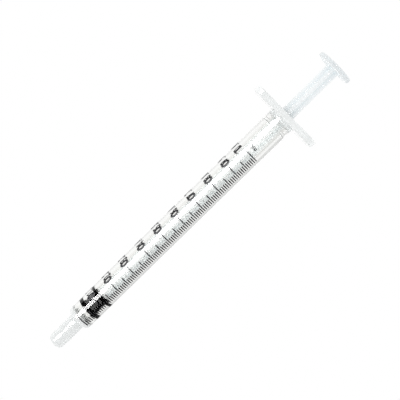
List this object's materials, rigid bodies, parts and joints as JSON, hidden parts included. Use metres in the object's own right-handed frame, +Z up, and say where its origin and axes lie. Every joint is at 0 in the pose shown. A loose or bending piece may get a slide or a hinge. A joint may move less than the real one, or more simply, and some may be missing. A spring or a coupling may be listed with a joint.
{
  "type": "oral syringe",
  "caption": "Small oral dosing syringe: clear barrel with a printed scale, a plain oral tip and a finger flange, and a sliding plunger with a rubber stopper.",
  "frame": {"origin": "on the surface that the syringe lies on, under the middle of its overall length at rest and under its long axis", "axes": "+X along the syringe from the oral tip to the thumb disc, +Z up through the printed scale, +Y across, along the finger flange"},
  "size_m": [0.096, 0.0196, 0.01],
  "materials": {
    "clear_plastic": "clear, slightly milky moulded polypropylene, glossy",
    "black_rubber": "smooth, slightly oily synthetic rubber",
    "white_plastic": "cool white translucent moulded polyethylene, satin",
    "black_ink": "screen-printed ink, satin"
  },
  "bodies": {
    "barrel": {"barrel": "clear_plastic", "graduation_lines": "black_ink", "scale_numerals": "black_ink", "unit_mark": "black_ink"},
    "stopper": {"stopper": "black_rubber"},
    "plunger": {"plunger_rod": "white_plastic"}
  },
  "joints": [
    {"name": "plunger_slide", "type": "slide", "parent": "barrel", "child": "stopper", "axis": [1, 0, 0], "range_m": [-0.00225, 0.0569]},
    {"name": "rod_spin", "type": "hinge", "parent": "stopper", "child": "plunger", "pos_m": [0, 0, 0.005], "axis": [1, 0, 0], "continuous": true}
  ]
}
